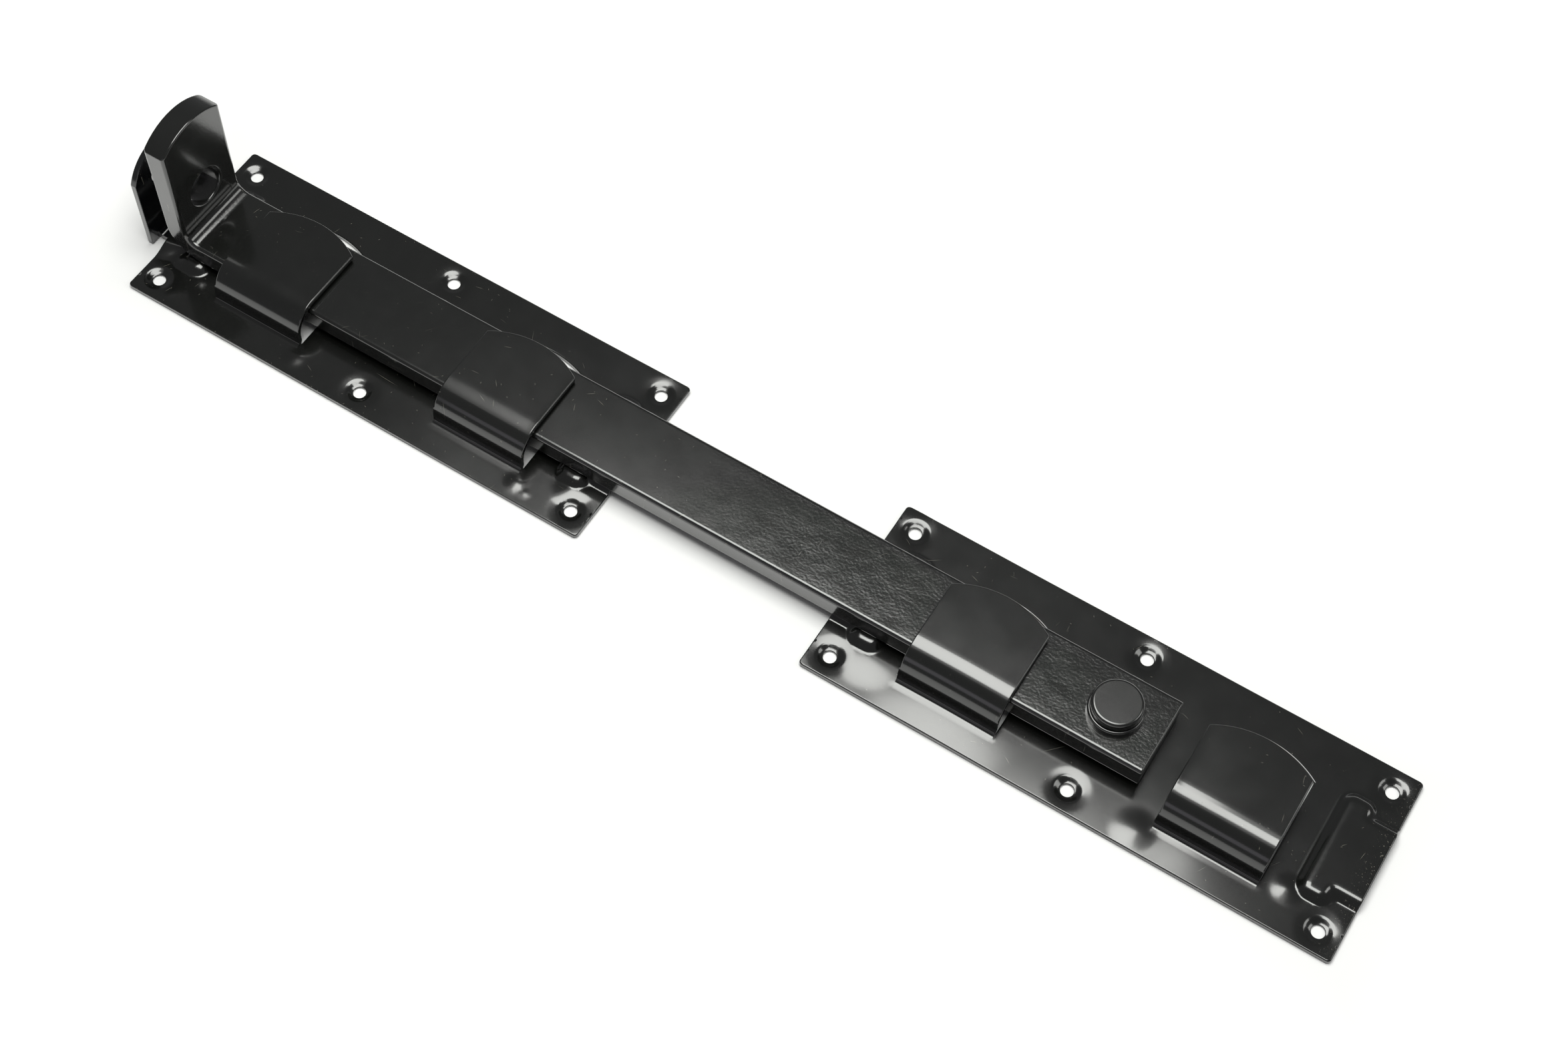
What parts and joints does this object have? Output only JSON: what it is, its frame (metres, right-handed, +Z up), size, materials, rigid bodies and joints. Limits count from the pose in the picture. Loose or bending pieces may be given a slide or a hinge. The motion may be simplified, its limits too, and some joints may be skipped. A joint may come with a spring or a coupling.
{
  "type": "padbolt",
  "caption": "Padlockable flat-bar bolt: a bar with an upturned drilled end lies in open hooks pressed from two screw-on plates, beside a loose drilled lug.",
  "frame": {"origin": "middle of the left plate's four corner screw holes, on the plate's back", "axes": "+X along the padbolt from the left plate to the right plate, +Y to the hooks' open side, +Z up from the fixing surface"},
  "size_m": [0.5085, 0.076, 0.0673],
  "materials": {
    "plate_enamel": "semi-gloss black stove enamel on pressed steel sheet",
    "bar_enamel": "semi-gloss black stove enamel with a faint orange peel on rolled flat bar",
    "knob_enamel": "semi-gloss black stove enamel on a turned knob",
    "lug_enamel": "semi-gloss black stove enamel on cut and bent steel strip"
  },
  "bodies": {
    "plates": {"left_plate": "plate_enamel", "right_plate": "plate_enamel", "padlock_lug": "lug_enamel"},
    "bar": {"bolt_bar": "bar_enamel", "knob": "knob_enamel"}
  },
  "joints": [
    {"name": "bar_lift_out", "type": "slide", "parent": "plates", "child": "bar", "axis": [0, 1, 0], "range_m": [-0.0015, 0.036]}
  ]
}
